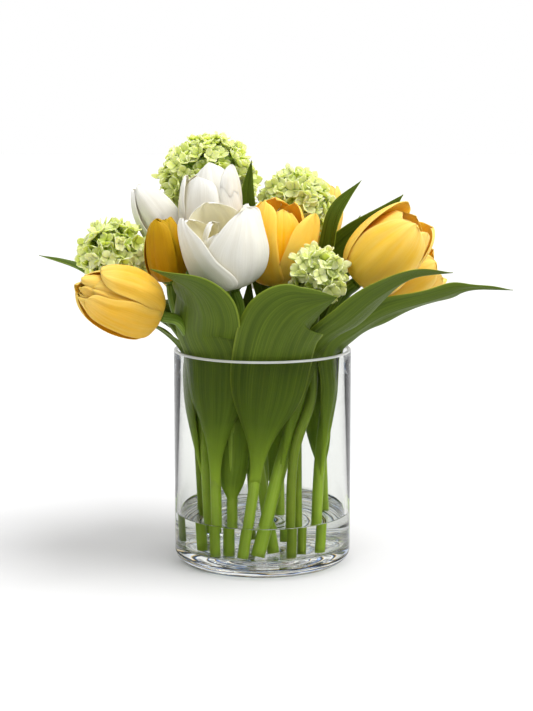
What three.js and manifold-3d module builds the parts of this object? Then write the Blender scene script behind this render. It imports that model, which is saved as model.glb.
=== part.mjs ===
// Cut tulips and guelder-rose heads standing in a glass cylinder vase with a little water.
// Millimetres, +Z up. The origin is the centre of the vase's underside and -Y is the front.

import * as THREE from "three";
import { mergeVertices } from "three/addons/utils/BufferGeometryUtils.js";
import Module from "manifold-3d";

const wasm = await Module();
wasm.setup();

// ---------------------------------------------------------------- driving dimensions

const VASE_RADIUS = 63.5;
const VASE_HEIGHT = 154;
const WALL = 3;
const FLOOR = 12; // thickness of the solid glass bottom
const HEEL = 9; // rounding of the outer lower edge
const INNER_FILLET = 4;
const WATER_LEVEL = 35.4;
const GAP = 0.3; // between pieces that touch
const HOLE_CLEARANCE = 0.9; // water kept back from a stem's sides
const HOLE_OVERRUN = 3; // how far a stem's hole runs past the water, above and below

const TULIP_STEM = 3.9; // radius of a tulip stem
const STEM_SIDES = 8;
const STEM_STEPS = 6;
const NECK = 16; // straight length of a stem below its bloom
const FOOT_RISE = 1.5; // how far a leaning stem's cut end is raised, in lean times radius
const HALVINGS = 24; // steps of the search for a height on a curve
const PETAL_THICKNESS = 1.0;
const LEAF_THICKNESS = 1.0;
const LEAF_ROOT = 0.6; // how far a leaf's foot is sunk in its stem
const LEAF_FOOT = 0.18; // a leaf's width where it leaves the stem, as a share of its greatest
const LEAF_TIP = 0.04; // and at its tip
const LEAF_SHOULDER = 0.4; // where a leaf has half its width, as a share of the way to its widest place
const LEAF_TAPER = 1.25; // how long a leaf stays broad beyond its widest place
const PETALS_PER_RING = 3;
const OPEN_MOUTH = 0.7; // a bloom opened wider than this shows its pistil
const LATHE_SEGMENTS = 32;

const UP = new THREE.Vector3(0, 0, 1);

const COLOURS = {
  glass: { color: 0xe8eeee, roughness: 0.02, metalness: 0 },
  water: { color: 0xeaf2ee, roughness: 0.02, metalness: 0 },
  yellow: { color: 0xe9b443, roughness: 0.55, metalness: 0 },
  orange: { color: 0xf0a41c, roughness: 0.55, metalness: 0 },
  white: { color: 0xf0eee6, roughness: 0.55, metalness: 0 },
  leaf: { color: 0x55711f, roughness: 0.5, metalness: 0 },
  floret: { color: 0xc3d488, roughness: 0.6, metalness: 0 },
};

// Tulips. foot: where the cut end stands; via: points the stem passes; base: where the bloom sits;
// axis: the bloom's direction; length, radius: the cup's; mouth: radius at the petal tips as a share
// of radius; roll: the bloom's turn about its axis; point: how blunt (small) or pointed the petals are.
const TULIPS = [
  {
    name: "front_left", colour: "yellow", foot: [-31, -43], via: [[-34, -38, 92], [-46, -22, 148]],
    base: [-70, -40, 182], axis: [-0.84, -0.38, 0.38], length: 62, radius: 22, mouth: 0.5, roll: 10,
  },
  {
    name: "left_bud", colour: "white", foot: [-46, 22], via: [[-45, 21, 92], [-45, 20, 154]],
    base: [-61, 20, 222], axis: [-0.54, 0.11, 0.84], length: 56, radius: 15.5, mouth: 0.24, roll: 50,
  },
  {
    name: "left_small", colour: "orange", foot: [-37, -23], via: [[-42, -17, 92], [-52, -8, 154]],
    base: [-64, -18, 202], axis: [-0.15, -0.05, 0.98], length: 48, radius: 14, mouth: 0.4, roll: 0,
  },
  {
    name: "front_white", colour: "white", foot: [-21, -35], via: [[-21, -35, 92], [-20, -40, 152]],
    base: [-19, -43, 200], axis: [-0.2, -0.1, 0.97], length: 58, radius: 26.5, mouth: 0.95, roll: -28,
    point: 0.7,
  },
  {
    name: "back_white", colour: "white", foot: [7, -33], via: [[-6, -18, 92], [-20, -2, 162]],
    base: [-32, 9, 223], axis: [-0.1, -0.03, 0.99], length: 62, radius: 23, mouth: 0.6, roll: -8,
  },
  {
    name: "centre_orange", colour: "orange", foot: [-13, -50], via: [[-4, -45, 77], [2, -26, 147]],
    base: [9, -4, 197], axis: [0.05, -0.04, 1], length: 64, radius: 22.5, mouth: 0.55, roll: -25,
  },
  {
    name: "rear_right", colour: "yellow", foot: [47, 19], via: [[44, 25, 92], [38, 38, 154]],
    base: [38, 74, 218], axis: [0.2, 0.15, 0.97], length: 52, radius: 16.5, mouth: 0.5, roll: 0,
  },
  {
    name: "right", colour: "yellow", foot: [-3, -48], via: [[12, -37, 72], [36, -20, 147]], stem: 4.8,
    base: [66, -12, 202], axis: [0.66, -0.19, 0.73], length: 65, radius: 23.5, mouth: 0.6, roll: 28,
  },
  {
    name: "low_right", colour: "yellow", foot: [37, -32], via: [[41, -24, 82], [53, 4, 150]],
    base: [75, 28, 186], axis: [0.89, -0.08, 0.45], length: 60, radius: 20, mouth: 0.6, roll: 10,
  },
  {
    name: "rear_left", colour: "yellow", foot: [-22, 38], via: [[-28, 42, 92], [-35, 44, 152]],
    base: [-44, 54, 190], axis: [-0.42, 0.74, 0.52], length: 60, radius: 21, mouth: 0.55, roll: 40,
  },
  {
    name: "rear_white", colour: "white", foot: [13, 4], via: [[12, 28, 92], [12, 44, 152]],
    base: [8, 60, 192], axis: [0.05, 0.85, 0.52], length: 62, radius: 22, mouth: 0.6, roll: 0,
  },
];

// Leaves. tulip: whose stem it grows on, from the height rise; path: points of its midrib, the last
// one its tip; face: where its inner side looks low down, and at the tip; bend: how far it is curled
// across at the stem, half way and at the tip; peak: how far along it is widest; shoulder: how soon it
// widens, where that isn't LEAF_SHOULDER.
const LEAVES = [
  {
    tulip: "front_left", rise: 62, width: 57, peak: 0.75, shoulder: 0.22, bend: [1.3, 0.46, 0.5],
    path: [[-34, -44, 104], [-35, -44, 130], [-35.5, -44.5, 153], [-42, -45, 170], [-41, -60, 187],
      [-49, -74, 205], [-74, -82, 219]],
    face: [[0.42, 0.9, 0.05], [0.5, 0.15, 0.85]],
  },
  {
    tulip: "left_bud", rise: 72, width: 24, peak: 0.5, bend: [1.4, 0.5, 0.5],
    path: [[-51, 25, 114], [-52, 23, 153], [-67, 26, 169], [-97, 31, 187], [-132, 34, 207],
      [-163, 34, 217]],
    face: [[0.9, -0.4, 0.1], [0.1, -0.3, 0.95]],
  },
  {
    tulip: "left_bud", rise: 148, width: 16, peak: 0.4, bend: [1.2, 0.5, 0.4],
    path: [[-60, 36, 188], [-76, 40, 222], [-88, 40, 240]],
    face: [[0.6, -0.8, 0.1], [0.7, -0.6, 0.2]],
  },
  {
    tulip: "left_small", rise: 64, width: 22, peak: 0.3, bend: [1.3, 0.5, 0.5],
    path: [[-53, -16, 106], [-56, -13, 134], [-57, -11, 153], [-75, -10, 170], [-102, -12, 180]],
    face: [[0.97, 0.2, 0.1], [0.2, 0.1, 0.97]],
  },
  {
    tulip: "front_white", rise: 44, width: 25, peak: 0.45, shoulder: 0.25, bend: [1.3, 0.45, 0.5],
    path: [[-21.5, -38, 68], [-20, -38, 92], [-21, -38, 122], [-21, -40, 152], [-26, -46, 194]],
    face: [[0.1, 1, 0.05], [0.1, 1, 0.2]],
  },
  {
    tulip: "back_white", rise: 44, width: 22, peak: 0.64, shoulder: 0.17, bend: [1.3, 0.45, 0.4],
    path: [[-3, -20, 72], [-7, -10, 100], [-9, -2, 130], [-11, 3, 160], [-9, 7, 204]],
    face: [[-0.3, 0.95, 0.05], [-0.2, 1, 0.1]],
  },
  {
    tulip: "centre_orange", rise: 66, width: 60, peak: 0.58, shoulder: 0.27, bend: [1.3, 0.4, 0.6],
    path: [[0, -56, 105], [4, -58, 129], [7.5, -58, 153], [12.6, -68, 172], [20.5, -75, 185],
      [32, -74, 192], [50, -73, 199]],
    face: [[-0.08, 1, 0.05], [-0.25, 0.75, 0.6]],
  },
  {
    tulip: "rear_right", rise: 48, width: 26, peak: 0.55, shoulder: 0.22, bend: [1.3, 0.5, 0.4],
    path: [[40, 17, 92], [34, 14, 122], [33, 15, 152], [35, 19, 176]],
    face: [[0.3, 0.95, 0.05], [0.2, 1, 0.1]],
  },
  {
    tulip: "rear_right", rise: 106, width: 36, peak: 0.58, bend: [1.2, 0.6, 0.6],
    path: [[44, 33, 152], [44, 36, 174], [46, 30, 194], [52, 25, 209], [64, 22, 223], [81, 20, 240],
      [101, 20, 262]],
    face: [[-0.5, -0.85, 0.2], [-0.35, -0.85, 0.4]],
  },
  {
    tulip: "rear_right", rise: 140, width: 16, peak: 0.5, bend: [1.2, 0.5, 0.4],
    path: [[47, 54, 190], [61, 52, 219], [72, 50, 245]],
    face: [[-0.7, -0.7, 0.1], [-0.7, -0.6, 0.3]],
  },
  {
    tulip: "right", rise: 74, width: 29, peak: 0.64, bend: [1.2, 0.45, 0.5],
    path: [[19.5, -44.5, 102], [26, -44.5, 130], [33.5, -40, 154], [43, -46, 168], [58, -54, 180],
      [78, -58, 197.5], [102, -57, 211], [129.5, -53, 213.5]],
    face: [[-0.5, 0.85, 0.2], [-0.15, 0.36, 0.92]],
  },
  {
    tulip: "low_right", rise: 64, width: 28, peak: 0.5, bend: [1.4, 0.5, 0.5],
    path: [[45, -33, 102], [49, -29, 128], [49, -26.7, 155], [65, -22, 168], [88, -22, 182],
      [124, -22, 193], [146, -22, 199], [175, -22, 198]],
    face: [[-0.8, 0.6, 0.1], [-0.1, 0.38, 0.92]],
  },
  {
    tulip: "low_right", rise: 114, width: 17, peak: 0.62, bend: [1.2, 0.5, 0.5],
    path: [[46, -2, 162], [45, 3, 199], [47.5, 4, 229], [53.5, 4, 252], [70, 4, 273]],
    face: [[-0.7, -0.7, 0.1], [-0.7, -0.6, 0.3]],
  },
  {
    tulip: "low_right", rise: 80, width: 24, peak: 0.5, bend: [1.3, 0.5, 0.5],
    path: [[54, 4, 114], [57, 6, 154], [74, 28, 168], [90, 72, 178]],
    face: [[-0.95, -0.25, 0.1], [-0.3, -0.4, 0.87]],
  },
  {
    tulip: "rear_left", rise: 72, width: 36, peak: 0.5, bend: [1.3, 0.5, 0.5],
    path: [[-30, 46, 112], [-30.5, 46, 157], [-60, 66, 171], [-98, 84, 178]],
    face: [[0.5, -0.85, 0.1], [0.3, -0.4, 0.85]],
  },
  {
    tulip: "rear_white", rise: 72, width: 38, peak: 0.5, bend: [1.3, 0.5, 0.5],
    path: [[14, 54, 114], [12, 55, 160], [20, 84, 176], [30, 118, 180]],
    face: [[-0.25, -0.95, 0.1], [-0.1, -0.5, 0.85]],
  },
  {
    tulip: "rear_white", rise: 39, width: 21, peak: 0.5, shoulder: 0.24, bend: [1.3, 0.5, 0.4],
    path: [[9, 4, 60], [9.5, 0, 80], [12.5, -6, 112], [12, -9, 142], [10, -8, 166]],
    face: [[0.1, 1, 0.05], [0.1, 1, 0.1]],
  },
  {
    tulip: "rear_white", rise: 130, width: 14, peak: 0.5, bend: [1.2, 0.5, 0.4],
    path: [[2, 42, 180], [-8, 40, 228], [-11, 40, 258], [-8, 42, 286]],
    face: [[0, -1, 0.1], [0, -1, 0.2]],
  },
];

// Guelder-rose heads: a ball of four-petalled florets on a woody stem.
const SNOWBALLS = [
  {
    name: "top", foot: [-6, 18], via: [[-12, 24, 92], [-21, 34, 162]], centre: [-40, 69, 267],
    radius: 34, stem: 3, florets: 23,
  },
  {
    name: "right", foot: [25, -37], via: [[25, -18, 92], [25, 8, 162]], centre: [24, 38, 253],
    radius: 24.5, stem: 3, florets: 16,
  },
  {
    name: "left", foot: [-44, 5], via: [[-49, 5, 92], [-54, 5, 152]], centre: [-105, 6, 219],
    radius: 24, stem: 2.6, florets: 17,
  },
  {
    name: "low", foot: [19, -46], via: [[21.5, -43.5, 82], [34, -30.5, 122], [34.3, -32, 158]],
    centre: [38.5, -40, 211.5], radius: 17.5, stem: 3.5, florets: 11,
  },
];

// ---------------------------------------------------------------- solids from geometry

function solidOf(geometry) {
  const bare = geometry.index ? geometry.toNonIndexed() : geometry.clone();
  bare.deleteAttribute("normal");
  bare.deleteAttribute("uv");
  const merged = mergeVertices(bare, 1e-4);
  const mesh = new wasm.Mesh({
    numProp: 3,
    vertProperties: merged.attributes.position.array,
    triVerts: merged.index.array,
  });
  return new wasm.Manifold(mesh);
}

function geometryOf(solid) {
  const { vertProperties, triVerts } = solid.getMesh();
  const geometry = new THREE.BufferGeometry();
  geometry.setAttribute("position", new THREE.BufferAttribute(vertProperties, 3));
  geometry.setIndex(new THREE.BufferAttribute(triVerts, 1));
  geometry.computeVertexNormals();
  return geometry;
}

function union(solids) {
  return solids.reduce((whole, piece) => whole.add(piece));
}

// A profile of [radius, height] pairs turned about Z.
function turned(profile) {
  const points = profile.map(([r, z]) => new THREE.Vector2(r, z));
  return new THREE.LatheGeometry(points, LATHE_SEGMENTS).rotateX(Math.PI / 2);
}

function arc(centreR, centreZ, radius, from, to, steps) {
  return Array.from({ length: steps + 1 }, (_, i) => {
    const angle = from + ((to - from) * i) / steps;
    return [centreR + radius * Math.cos(angle), centreZ + radius * Math.sin(angle)];
  });
}

// ---------------------------------------------------------------- blades: petals and leaves

// A thin closed blade on surface(s, t), s across from -1 to 1 and t along from 0 to 1. Both faces
// are split along the same diagonals, so that they stay parallel.
function blade(surface, across, along, thickness) {
  const step = 1e-3;
  const positions = [];
  const normalAt = (s, t) => {
    const ds = surface(s + step, t).sub(surface(s - step, t));
    const dt = surface(s, Math.min(1, t + step)).sub(surface(s, Math.max(0, t - step)));
    return ds.cross(dt).normalize();
  };
  const columns = across + 1;
  for (const side of [1, -1])
    for (const t of along)
      for (let j = 0; j < columns; j++) {
        const s = -1 + (2 * j) / across;
        const p = surface(s, t).addScaledVector(normalAt(s, t), (side * thickness) / 2);
        positions.push(p.x, p.y, p.z);
      }
  const back = along.length * columns;
  const at = (i, j, face) => face * back + i * columns + j;
  const index = [];
  const quad = (a, b, c, d) => index.push(a, b, c, a, c, d);
  const last = along.length - 1;
  for (let i = 0; i < last; i++) {
    for (let j = 0; j < across; j++) {
      quad(at(i, j, 0), at(i, j + 1, 0), at(i + 1, j + 1, 0), at(i + 1, j, 0));
      index.push(at(i, j, 1), at(i + 1, j + 1, 1), at(i, j + 1, 1));
      index.push(at(i, j, 1), at(i + 1, j, 1), at(i + 1, j + 1, 1));
    }
    quad(at(i, 0, 1), at(i, 0, 0), at(i + 1, 0, 0), at(i + 1, 0, 1));
    quad(at(i, across, 0), at(i, across, 1), at(i + 1, across, 1), at(i + 1, across, 0));
  }
  for (let j = 0; j < across; j++) {
    quad(at(0, j, 1), at(0, j + 1, 1), at(0, j + 1, 0), at(0, j, 0));
    quad(at(last, j, 0), at(last, j + 1, 0), at(last, j + 1, 1), at(last, j, 1));
  }
  const geometry = new THREE.BufferGeometry();
  geometry.setAttribute("position", new THREE.Float32BufferAttribute(positions, 3));
  geometry.setIndex(index);
  return geometry;
}

function bezier(t, a, b, c, d) {
  const u = 1 - t;
  return u * u * u * a + 3 * u * u * t * b + 3 * u * t * t * c + t * t * t * d;
}

// ---------------------------------------------------------------- tulip blooms

const RECEPTACLE = [[0, 0], [4.2, 0], [6.6, 2.6], [6.2, 6.6], [0, 8.5]];
const PISTIL = [[0, 7], [3, 7], [3, 22], [4.5, 24], [0, 26]];
const PETAL_FOOT = 5; // how far from the axis a petal starts, inside the receptacle
const TIGHTEST = 7; // least radius of a petal's section
const BELLY = 1.25; // how far the cup swells low down and higher up, in its radius
const SHOULDER = 1.27;
const SHOULDER_HEIGHT = 0.72; // where it starts to close, in its length
const PETAL_TIP = 0.06; // a petal's least width, as a share of its greatest
const PETAL_ROOT = 0.012; // where its width starts, as a share of half a wave
const PETAL_SKEW = 0.78; // under 1, a petal is widest below the middle
const PETAL_BLUNTNESS = 0.55; // a power: the smaller, the blunter the tip

// The two rings of petals. size: height and girth as shares of the bloom's; widest: half a petal's
// greatest sweep in radians, so that a ring's petals stay clear of one another; lift: how much
// higher it starts; flatness: its section's radius as a share of its distance from the axis.
const OUTER = {
  size: 1, girth: 1, width: 0.98, widest: 0.86, lift: 0, flatness: 1.14,
  columns: 4, rows: [0, 0.16, 0.45, 0.77, 1],
};
const INNER = {
  size: 0.94, girth: 0.84, width: 0.8, widest: 0.98, lift: 2.4, flatness: 0.94,
  columns: 3, rows: [0, 0.2, 0.6, 1],
};

// Half the width of a petal at t, as a share of its greatest half width.
function petalWidth(t, point) {
  const phase = PETAL_ROOT + (1 - PETAL_ROOT) * t ** PETAL_SKEW;
  return Math.max(PETAL_TIP, Math.sin(Math.PI * phase) ** point);
}

function petalSurface({ length, radius, mouth, point = PETAL_BLUNTNESS }, ring, azimuth) {
  return (s, t) => {
    const profile = bezier(t, PETAL_FOOT, BELLY * radius, SHOULDER * radius, mouth * radius);
    const reach = ring.girth * profile;
    const height = bezier(t, 3 + ring.lift, 1 + ring.lift, SHOULDER_HEIGHT * length, ring.size * length);
    const curve = Math.max(reach, TIGHTEST) * ring.flatness;
    const sweep = (ring.width * radius * petalWidth(t, point)) / curve;
    const angle = s * Math.min(sweep, ring.widest);
    const out = reach - curve + curve * Math.cos(angle);
    const place = new THREE.Vector3(out, curve * Math.sin(angle), height);
    return place.applyAxisAngle(UP, azimuth);
  };
}

function bloomSolid(bloom) {
  const pieces = [turnedSmall(RECEPTACLE)];
  for (let k = 0; k < PETALS_PER_RING * 2; k++) {
    const ring = k % 2 === 0 ? OUTER : INNER;
    const surface = petalSurface(bloom, ring, (k * Math.PI) / PETALS_PER_RING);
    pieces.push(solidOf(blade(surface, ring.columns, ring.rows, PETAL_THICKNESS)));
  }
  if (bloom.mouth > OPEN_MOUTH) pieces.push(turnedSmall(PISTIL));
  return union(pieces);
}

// A small six-sided turned solid, with a flat side under each petal.
function turnedSmall(profile) {
  const points = profile.map(([r, z]) => new THREE.Vector2(r, z));
  const sides = PETALS_PER_RING * 2;
  return solidOf(new THREE.LatheGeometry(points, sides).rotateX(Math.PI / 2).rotateZ(Math.PI / sides));
}

// The turn that carries +Z onto axis, after a roll about +Z.
function standing(axis, roll = 0) {
  const tilt = new THREE.Quaternion().setFromUnitVectors(UP, axis);
  const spin = new THREE.Quaternion().setFromAxisAngle(UP, THREE.MathUtils.degToRad(roll));
  return tilt.multiply(spin);
}

// ---------------------------------------------------------------- stems and leaves

function vector([x, y, z]) {
  return new THREE.Vector3(x, y, z);
}

function curveThrough(points) {
  return new THREE.CatmullRomCurve3(points, false, "catmullrom", 0.5);
}

// A stem's line: from its cut end on the vase floor to base, arriving along axis. A leaning stem
// starts higher, so that its square cut stays above the floor.
function stemCurve({ foot, via }, base, axis, radius) {
  const [first] = via;
  const lean = Math.hypot(first[0] - foot[0], first[1] - foot[1]) / (first[2] - FLOOR);
  const start = new THREE.Vector3(foot[0], foot[1], FLOOR + GAP + FOOT_RISE * lean * radius);
  const below = base.clone().addScaledVector(axis, -NECK);
  return curveThrough([start, ...via.map(vector), below, base]);
}

function tube(curve, radius, steps) {
  const section = new THREE.Shape().absarc(0, 0, radius, 0, Math.PI * 2);
  const options = { steps, curveSegments: STEM_SIDES / 2, extrudePath: curve, bevelEnabled: false };
  return new THREE.ExtrudeGeometry(section, options);
}

// The parameter at which a stem reaches height z.
function parameterAt(curve, z) {
  let low = 0;
  let high = 1;
  for (let i = 0; i < HALVINGS; i++) {
    const middle = (low + high) / 2;
    if (curve.getPoint(middle).z < z) low = middle;
    else high = middle;
  }
  return low;
}

// Half the width of a leaf at t, as a share of its greatest half width, reached at peak.
function leafWidth(t, { peak, shoulder = LEAF_SHOULDER }) {
  if (t <= peak) {
    const climb = (t / peak) ** 3;
    return LEAF_FOOT + ((1 - LEAF_FOOT) * (1 + shoulder ** 3) * climb) / (climb + shoulder ** 3);
  }
  const beyond = (t - peak) / (1 - peak);
  return Math.max(LEAF_TIP, Math.cos((Math.PI / 2) * beyond ** LEAF_TAPER));
}

// A leaf starts wrapped round its stem and opens out along its path; its inner side looks along face.
function leafSurface(leaf, stem, stemRadius) {
  const [face, faceTip] = leaf.face.map((direction) => vector(direction).normalize());
  const start = stem.getPoint(parameterAt(stem, leaf.rise));
  start.addScaledVector(face, LEAF_ROOT - stemRadius);
  const spine = curveThrough([start, ...leaf.path.map(vector)]);
  return (s, t) => {
    const along = spine.getTangent(t);
    const inward = face.clone().lerp(faceTip, t * t);
    const side = along.clone().cross(inward).normalize();
    const up = side.clone().cross(along);
    const half = (leaf.width / 2) * leafWidth(t, leaf);
    const bend = (1 - t) ** 3 * leaf.bend[0] + 3 * t * (1 - t) * leaf.bend[1] + t ** 3 * leaf.bend[2];
    const point = spine.getPoint(t);
    point.addScaledVector(side, (half * Math.sin(bend * s)) / bend);
    return point.addScaledVector(up, (half * (1 - Math.cos(bend * s))) / bend);
  };
}

const LEAF_ROWS = [0, 0.13, 0.29, 0.45, 0.6, 0.76, 0.9, 1];
const WIDE_LEAF = 25;

function leafSolid(leaf, stem, stemRadius) {
  const across = leaf.width > WIDE_LEAF ? 4 : 2;
  return solidOf(blade(leafSurface(leaf, stem, stemRadius), across, LEAF_ROWS, LEAF_THICKNESS));
}

// ---------------------------------------------------------------- guelder-rose heads

const LOBES = 4;
const LOBE_OUTLINE = [[-0.34, 0.97], [0.34, 0.97], [Math.PI / 4, 0.45]]; // angle, reach
const FLORET_DIP = 1.6; // how far a floret's middle lies below its rim
const FLORET_DEPTH = 9; // from its rim to the point of its stalk
const FLORET_STAND = 6; // how far the florets stand off the head's core
const FLORET_UNEVEN = 2.4; // spread of their heights
const FLORET_COVER = 1.6; // a floret's radius times the root of their number, over the head's radius
const STALK_GAP = 1.3; // from the core to the top of the stem
const STEM_CLEARING = -0.86; // florets nearer than this to the stem's direction are left out

// One floret at the origin, facing +Z: four rounded lobes narrowing to a stalk below.
function floretSolid(radius) {
  const ring = [];
  for (let k = 0; k < LOBES; k++)
    for (const [turn, reach] of LOBE_OUTLINE) {
      const angle = (k * 2 * Math.PI) / LOBES + turn;
      ring.push([radius * reach * Math.cos(angle), radius * reach * Math.sin(angle), 0]);
    }
  const positions = [0, 0, -FLORET_DIP, 0, 0, -FLORET_DEPTH, ...ring.flat()];
  const index = [];
  for (let k = 0; k < ring.length; k++) {
    const here = 2 + k;
    const next = 2 + ((k + 1) % ring.length);
    index.push(0, here, next, 1, next, here);
  }
  const geometry = new THREE.BufferGeometry();
  geometry.setAttribute("position", new THREE.Float32BufferAttribute(positions, 3));
  geometry.setIndex(index);
  return geometry;
}

// Directions spread evenly over a ball.
function spread(count) {
  const golden = Math.PI * (3 - Math.sqrt(5));
  return Array.from({ length: count }, (_, k) => {
    const z = 1 - (2 * k + 1) / count;
    const ring = Math.sqrt(1 - z * z);
    return new THREE.Vector3(ring * Math.cos(k * golden), ring * Math.sin(k * golden), z);
  });
}

// Random numbers from 0 to 1, the same every time (Park and Miller's generator).
function seeded(seed) {
  const modulus = 2147483647;
  let state = seed;
  return () => {
    state = (state * 16807) % modulus;
    return state / modulus;
  };
}

function snowballSolid(head, stemAxis) {
  const random = seeded(head.florets * 1000);
  const pieces = [solidOf(new THREE.IcosahedronGeometry(head.radius - FLORET_STAND, 1))];
  const size = (FLORET_COVER * head.radius) / Math.sqrt(head.florets);
  for (const direction of spread(head.florets)) {
    const roll = random() * 90;
    const lift = head.radius + (random() - 0.5) * FLORET_UNEVEN;
    if (direction.dot(stemAxis) < STEM_CLEARING) continue;
    const floret = floretSolid(size);
    floret.applyQuaternion(standing(direction, roll));
    floret.translate(...direction.clone().multiplyScalar(lift).toArray());
    pieces.push(solidOf(floret));
  }
  return union(pieces);
}

// ---------------------------------------------------------------- vase and water

function vaseSolid() {
  const inner = VASE_RADIUS - WALL;
  const lip = WALL / 2;
  return solidOf(turned([
    [0, 0],
    ...arc(VASE_RADIUS - HEEL, HEEL, HEEL, -Math.PI / 2, 0, 3),
    ...arc(VASE_RADIUS - lip, VASE_HEIGHT - lip, lip, 0, Math.PI, 3),
    ...arc(inner - INNER_FILLET, FLOOR + INNER_FILLET, INNER_FILLET, 0, -Math.PI / 2, 2),
    [0, FLOOR],
  ]));
}

function waterSolid(stems) {
  const outer = VASE_RADIUS - WALL - GAP;
  const water = solidOf(turned([
    [0, FLOOR + GAP],
    ...arc(outer - INNER_FILLET, FLOOR + GAP + INNER_FILLET, INNER_FILLET, -Math.PI / 2, 0, 2),
    [outer, WATER_LEVEL],
    [0, WATER_LEVEL],
  ]));
  return stems.reduce((left, stem) => left.subtract(holeFor(stem)), water);
}

// The plain hole that a stem stands in, from under the water to above it.
function holeFor({ curve, radius }) {
  const top = parameterAt(curve, WATER_LEVEL + HOLE_OVERRUN);
  const foot = curve.getPoint(0);
  const below = foot.clone().addScaledVector(curve.getTangent(0), -HOLE_OVERRUN);
  const path = new THREE.LineCurve3(below, curve.getPoint(top));
  return solidOf(tube(path, radius + HOLE_CLEARANCE, 1));
}

// ---------------------------------------------------------------- the whole

const group = new THREE.Group();

function add(name, solid, colour) {
  const material = new THREE.MeshStandardMaterial(COLOURS[colour]);
  const mesh = new THREE.Mesh(geometryOf(solid), material);
  mesh.name = name;
  group.add(mesh);
  return mesh;
}

const stems = [];

function addTulip(tulip) {
  const axis = vector(tulip.axis).normalize();
  const base = vector(tulip.base);
  const radius = tulip.stem ?? TULIP_STEM;
  const curve = stemCurve(tulip, base.clone().addScaledVector(axis, -GAP), axis, radius);
  const own = LEAVES.filter((leaf) => leaf.tulip === tulip.name);
  const leaves = own.map((leaf) => leafSolid(leaf, curve, radius));
  add(`stem_${tulip.name}`, union([solidOf(tube(curve, radius, STEM_STEPS)), ...leaves]), "leaf");
  stems.push({ curve, radius });
  const bloom = add(`tulip_${tulip.name}`, bloomSolid(tulip), tulip.colour);
  bloom.position.copy(base);
  bloom.quaternion.copy(standing(axis, tulip.roll));
}

function addSnowball(head) {
  const centre = vector(head.centre);
  const axis = centre.clone().sub(vector(head.via.at(-1))).normalize();
  const core = head.radius - FLORET_STAND;
  const base = centre.clone().addScaledVector(axis, -core - STALK_GAP);
  const curve = stemCurve(head, base, axis, head.stem);
  add(`stem_snowball_${head.name}`, solidOf(tube(curve, head.stem, STEM_STEPS)), "leaf");
  stems.push({ curve, radius: head.stem });
  const ball = add(`snowball_${head.name}`, snowballSolid(head, axis), "floret");
  ball.position.copy(centre);
}

TULIPS.forEach(addTulip);
SNOWBALLS.forEach(addSnowball);
add("vase", vaseSolid(), "glass");
add("water", waterSolid(stems), "water");

export default group;
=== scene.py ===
"""Looks of the tulips and guelder-rose heads in a glass vase.

Shapes are worked out in millimetres, in the CAD frame, and made in metres. The tables of tulips, leaves and
heads hold the CAD source's values, followed by what only the finer pieces need.
"""

from math import cos, hypot, pi, radians, sin, sqrt

import bpy
import numpy as np
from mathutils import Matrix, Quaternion, Vector

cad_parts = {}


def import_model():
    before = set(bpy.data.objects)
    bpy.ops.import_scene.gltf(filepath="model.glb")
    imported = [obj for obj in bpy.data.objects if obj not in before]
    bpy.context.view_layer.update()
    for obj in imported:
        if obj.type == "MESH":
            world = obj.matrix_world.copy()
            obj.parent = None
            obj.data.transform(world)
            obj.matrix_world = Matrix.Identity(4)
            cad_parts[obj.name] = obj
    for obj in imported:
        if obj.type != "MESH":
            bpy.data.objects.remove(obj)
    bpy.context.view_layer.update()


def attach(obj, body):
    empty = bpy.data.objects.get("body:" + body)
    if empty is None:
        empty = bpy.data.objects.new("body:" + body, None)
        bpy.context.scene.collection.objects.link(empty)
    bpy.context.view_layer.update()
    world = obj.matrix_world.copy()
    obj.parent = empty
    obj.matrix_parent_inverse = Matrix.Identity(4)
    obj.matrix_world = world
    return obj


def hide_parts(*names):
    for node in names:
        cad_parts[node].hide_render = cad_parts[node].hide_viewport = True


MM = 0.001
UP = Vector((0, 0, 1))

# ---- dimensions, in millimetres

VASE_RADIUS = 63.5
VASE_HEIGHT = 154
WALL = 3
FLOOR = 12
HEEL = 9
INNER_FILLET = 4
WATER_LEVEL = 35.4
GAP = 0.3

TULIP_STEM = 3.9
NECK = 16
FOOT_RISE = 1.5
LEAF_ROOT = 0.6
LEAF_FOOT = 0.18
LEAF_SHOULDER = 0.4
LEAF_TAPER = 1.25
PETALS_PER_RING = 3
OPEN_MOUTH = 0.7
PETAL_FOOT = 5
TIGHTEST = 7
BELLY = 1.25
SHOULDER = 1.27
SHOULDER_HEIGHT = 0.72
PETAL_BLUNTNESS = 0.5
FLORET_STAND = 6
STALK_GAP = 1.3

# The two rings of petals, as in the CAD source, with sides that overlap the next petal's, and the smaller
# petals at a bloom's heart.
OUTER = dict(size=1.0, girth=1.0, width=1.12, widest=1.12, lift=0.0, flatness=1.1)
INNER = dict(size=0.95, girth=0.9, width=1.0, widest=1.1, lift=2.4, flatness=1.0)
HEART = dict(size=0.86, girth=0.68, width=0.74, widest=1.1, lift=4.5, flatness=1.0)

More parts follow.
